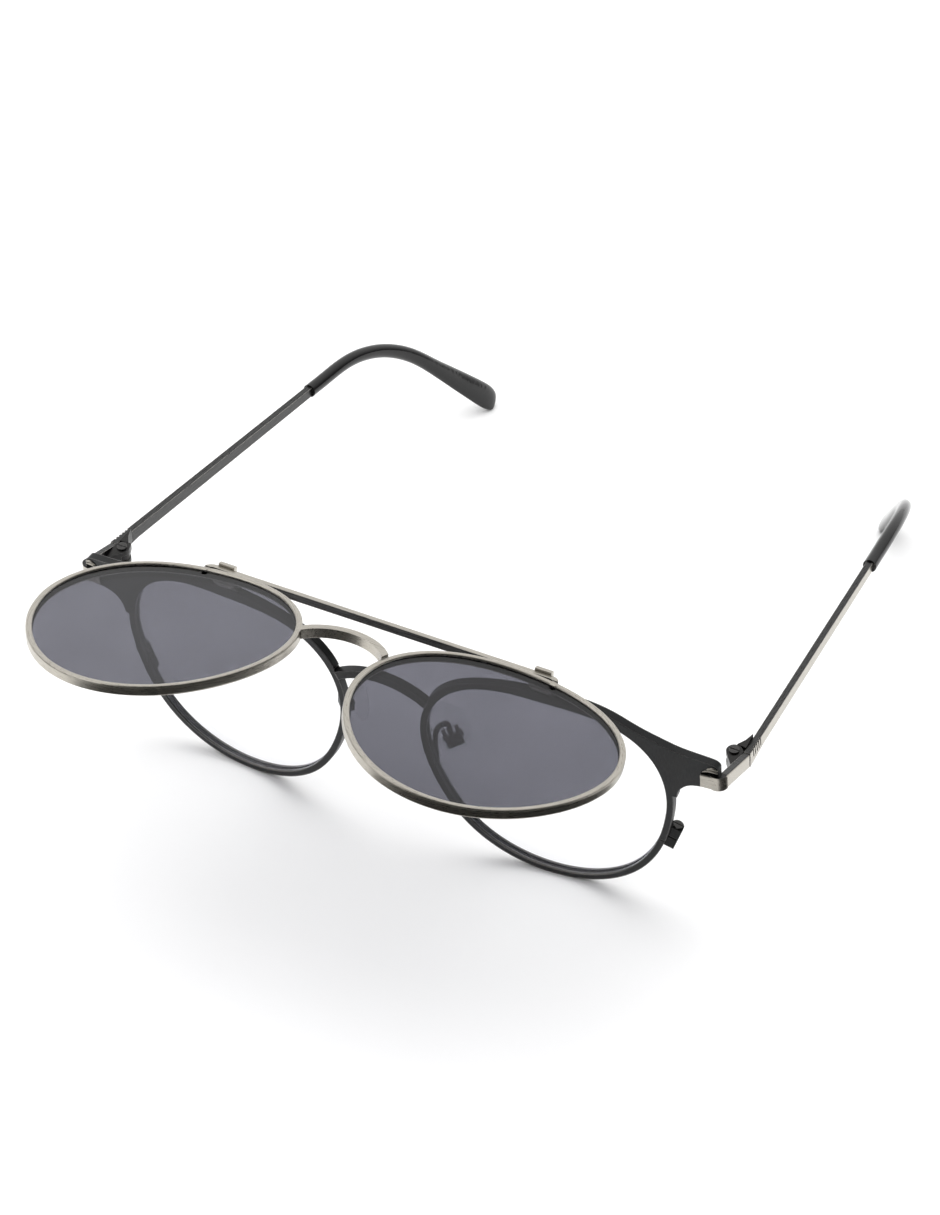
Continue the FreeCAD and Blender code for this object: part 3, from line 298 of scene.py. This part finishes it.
dress("bridge", front_black)
dress("clip_top_bar", clip_silver)
dress("clip_bridge", block_silver)
for hand, side in SIDES.items():
    dress(hand + "_eyewire", front_black)
    for part in ("rim_lock_upper", "rim_lock_lower", "pad_arm", "pad_box"):
        dress("%s_%s" % (hand, part), small_black)
    dress(hand + "_flip_bracket", block_silver)
    dress(hand + "_clip_rim", antique_silver(hand + "_rim_silver", (), clip_middle(side), True))
    dress(hand + "_flip_block", block_silver)
    # Each cap is silver on its front and outer side, each arm on its outer side; their other faces and the
    # caps' corners are dark, partly a smoked finish and partly painted shade.
    dress(hand + "_end_piece", antique_silver(hand + "_cap_silver", (FRONT_NORMAL, SIDE_WAYS[side])))
    dress(hand + "_temple_arm", antique_silver(hand + "_arm_silver", (SIDE_WAYS[side],),
                                               along=(7.0, 0.2, 7.0), recess=(0.55, 0.9)))
    for part in ("hinge_front", "temple_hinge"):
        dress("%s_%s" % (hand, part), hinge_steel)
    for part in ("hinge_screw", "rim_lock_screw", "pad_screw", "flip_pin"):
        dress("%s_%s" % (hand, part), screw_steel)
    dress(hand + "_temple_tip", sleeve_black)
    dress(hand + "_clear_lens", clear_glass)
    dress(hand + "_clip_lens", tinted_glass)


# --- Small fittings ---------------------------------------------------------------------------------
def finish_piece(mesh, name, material, body, place=Matrix()):
    """Turns a bmesh into a smooth-shaded piece that rides on a body."""
    bmesh.ops.recalc_face_normals(mesh, faces=mesh.faces)
    data = bpy.data.meshes.new(name)
    mesh.transform(place)
    mesh.to_mesh(data)
    mesh.free()
    for face in data.polygons:
        face.use_smooth = True
    data.materials.append(material)
    piece = bpy.data.objects.new(name, data)
    bpy.context.scene.collection.objects.link(piece)
    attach(piece, body)
    return piece


def loft(rings):
    """A closed skin over rings of equally many points."""
    mesh = bmesh.new()
    loops = [[mesh.verts.new(point) for point in ring] for ring in rings]
    for low, high in zip(loops, loops[1:]):
        for i in range(len(low)):
            j = (i + 1) % len(low)
            mesh.faces.new((low[i], low[j], high[j], high[i]))
    mesh.faces.new(loops[0])
    mesh.faces.new(loops[-1])
    return mesh


def pad_place(side):
    """Where a nose pad pivots: X across it, Y out of its face, Z up along it."""
    place = Matrix.Translation(Vector((side * PAD_ACROSS, PAD_BACK, -PAD_DROP)) * MM)
    turned = Matrix.Rotation(side * PAD_TURN, 4, "Z") @ Matrix.Rotation(-side * PAD_SPLAY, 4, "Y")
    return TO_FRONT @ place @ turned


def soft_pad(hand, side):
    """A thin drop-shaped pad with rounded edges, which stands for the plain one."""
    sections = ((0.02, 1.72), (0.5, 1.76), (0.8, 1.86), (0.93, 2.02), (0.99, 2.3), (1.0, 2.55),
                (0.985, 2.8), (0.93, 3.08), (0.8, 3.36), (0.5, 3.68), (0.02, 3.82))
    half_length = 7.1
    corners = 64
    rings = []
    for reach, depth in sections:               # share of the outline, and height above the pivot
        ring = []
        for step in range(corners):
            turned = 2 * math.pi * step / corners
            up = math.sin(turned)
            across = math.cos(turned) * (3.75 - 0.35 * up - 0.25 * up * up)
            ring.append(Vector((across * reach, depth, half_length * up * reach)) * MM)
        rings.append(ring)
    piece = finish_piece(loft(rings), hand + "_soft_pad", pad_clear, hand + "_pad",
                         pad_place(side))
    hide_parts(hand + "_nose_pad")


def pad_lug(hand, side):
    """The pad's lug: half round about the screw, with straight sides up to the pad."""
    half_width, chamfer, round_radius, height = 0.78, 0.08, 0.7, 1.9
    rings = []
    for across, inset in ((-half_width, chamfer), (chamfer - half_width, 0.0),
                          (half_width - chamfer, 0.0), (half_width, chamfer)):
        radius = round_radius - inset
        ring = []
        for step in range(33):
            turned = -math.pi / 2 - math.pi * step / 32
            ring.append(Vector((across, radius * math.cos(turned), radius * math.sin(turned))) * MM)
        ring += [Vector((across, height, radius)) * MM, Vector((across, height, -radius)) * MM]
        rings.append(ring)
    finish_piece(loft(rings), hand + "_pad_lug", pad_clear, hand + "_pad", pad_place(side))


def wire_solder(hand, side):
    """A small fillet of solder at a pad wire's foot, tall and uneven like a hand-made one."""
    sizes = (0.62, 0.55, 1.1)
    mesh = bmesh.new()
    bmesh.ops.create_icosphere(mesh, subdivisions=3, radius=1.0)
    for vertex in mesh.verts:
        spot = vertex.co.copy()
        swell = 1 + 0.07 * math.sin(3.1 * spot.x + 1.7 * spot.z) + 0.05 * math.cos(4.3 * spot.y + spot.x)
        vertex.co = Vector([spot[i] * swell * sizes[i] * MM for i in range(3)])
    across, back, up = WIRE_FOOT
    foot = TO_FRONT @ (Vector((side * across, back, up)) * MM)
    upright = TO_FRONT.to_3x3() @ Vector((0, 0, 1))
    turned = upright.to_track_quat("Z", "Y").to_matrix().to_4x4()
    finish_piece(mesh, hand + "_wire_solder", front_black, "front",
                 Matrix.Translation(foot) @ turned)


def brow_ridges(hand, side):
    """Two curved ridges carved in the brow's end above the silver cap."""
    curves = (((65.0, 0.2), (66.4, 1.35), (68.1, 0.7)), ((65.9, 1.25), (67.1, 2.0), (68.1, 1.3)))
    thickest, stand_out = 0.26, 0.04
    place = TO_FRONT @ Matrix.Rotation(side * WRAP, 4, "Z")
    for number, curve in enumerate(curves, start=1):
        rings = []
        for step in range(17):
            share = step / 16
            weights = ((1 - share) ** 2, 2 * share * (1 - share), share ** 2)
            across, height = (sum(weight * point[axis] for weight, point in zip(weights, curve))
                              for axis in (0, 1))
            radius = thickest * math.sin(math.pi * (0.06 + 0.8 * share)) ** 0.5
            ring = []
            for turn_step in range(12):
                turned = 2 * math.pi * turn_step / 12
                ring.append(Vector((side * across, -stand_out - radius * math.cos(turned),
                                    height + radius * math.sin(turned))) * MM)
            rings.append(ring)
        finish_piece(loft(rings), "%s_brow_ridge_%d" % (hand, number), ridge_silver, "front",
                     place)


ridge_silver = antique_silver("ridge_silver", (), recess=None)
for hand, side in SIDES.items():
    soft_pad(hand, side)
    pad_lug(hand, side)
    brow_ridges(hand, side)
    wire_solder(hand, side)


# --- Studio -----------------------------------------------------------------------------------------
def pale_floor():
    """A wide pale floor."""
    reach = 3.0
    corners = [(-reach, -reach, 0), (reach, -reach, 0), (reach, reach, 0), (-reach, reach, 0)]
    mesh = bpy.data.meshes.new("floor")
    mesh.from_pydata(corners, [], [(0, 1, 2, 3)])
    floor = bpy.data.objects.new("floor", mesh)
    bpy.context.scene.collection.objects.link(floor)
    look = Look("floor_pale", Roughness=0.7)
    paper = look.noise(look.place(), 0.02, 3.0)
    look.set("Base Color", look.blend(paper, grey(0.93), grey(0.96)))
    mesh.materials.append(look.material)


def soft_sky():
    """White light all round, bright towards the back left and dim elsewhere."""
    brightest = Vector((-0.36, 0.86, 0.38)).normalized()
    world = bpy.data.worlds.new("studio")
    bpy.context.scene.world = world
    world.use_nodes = True
    nodes, links = world.node_tree.nodes, world.node_tree.links
    direction = nodes.new("ShaderNodeTexCoord")
    toward = nodes.new("ShaderNodeVectorMath")
    toward.operation = "DOT_PRODUCT"
    toward.inputs[1].default_value = brightest
    links.new(direction.outputs["Generated"], toward.inputs[0])
    rise = nodes.new("ShaderNodeMapRange")
    rise.interpolation_type = "SMOOTHSTEP"
    for socket, value in (("From Min", 0.25), ("From Max", 0.9), ("To Min", 0.07), ("To Max", 1.05)):
        rise.inputs[socket].default_value = value
    links.new(toward.outputs["Value"], rise.inputs["Value"])
    background = nodes["Background"]
    links.new(rise.outputs[0], background.inputs["Strength"])
    background.inputs["Color"].default_value = (1.0, 1.0, 1.0, 1.0)


def lamps():
    """A small key from the front left, which shows in reflections, and a wide top light, which doesn't."""
    for name, place, width, height, power, mirrored in (
            ("key", (-1.1, -0.6, 1.2), 1.6, 1.4, 9.0, True),
            ("top", (0.0, 0.0, 1.9), 3.2, 3.2, 62.0, False)):
        light = bpy.data.lights.new(name, "AREA")
        light.shape = "RECTANGLE"
        light.size, light.size_y, light.energy = width, height, power
        lamp = bpy.data.objects.new(name, light)
        lamp.location = place
        lamp.rotation_euler = (-Vector(place)).to_track_quat("-Z", "Y").to_euler()
        lamp.visible_glossy = mirrored
        bpy.context.scene.collection.objects.link(lamp)


def front_card():
    """A black card in front of the glasses that only reflections see: it darkens what looks forwards."""
    height = 0.001
    outline = ((-0.2, -0.9), (-0.12, -0.17), (-0.06, -0.115), (0.07, -0.115),
               (0.085, -0.05), (0.085, -0.01), (0.9, -0.01), (0.9, -0.9))
    mesh = bpy.data.meshes.new("front_card")
    mesh.from_pydata([(x, y, height) for x, y in outline], [], [tuple(range(len(outline)))])
    card = bpy.data.objects.new("front_card", mesh)
    bpy.context.scene.collection.objects.link(card)
    look = Look("front_card_black", Roughness=1.0)
    look.set("Base Color", look.blend(look.noise(look.place(), 0.02), grey(0.01), grey(0.02)))
    mesh.materials.append(look.material)
    for ray in ("camera", "diffuse", "shadow", "transmission", "volume_scatter"):
        setattr(card, "visible_" + ray, False)


def camera():
    """From the front, high on the wearer's left, through a long lens."""
    view = bpy.data.cameras.new("camera")
    view.sensor_width = 36.0
    view.lens = LENS
    view.clip_end = 20.0
    eye = bpy.data.objects.new("camera", view)
    place, aim = Vector((0.321229, -0.638510, 0.590066)), Vector((-0.000319, -0.007495, 0.031113))
    tilt = Matrix.Rotation(CAMERA_ROLL, 4, "Z")
    look_at = (aim - place).to_track_quat("-Z", "Y").to_matrix().to_4x4()
    eye.matrix_world = Matrix.Translation(place) @ look_at @ tilt
    bpy.context.scene.collection.objects.link(eye)
    bpy.context.scene.camera = eye


pale_floor()
soft_sky()
lamps()
front_card()
camera()
bpy.context.scene.view_settings.view_transform = "Standard"
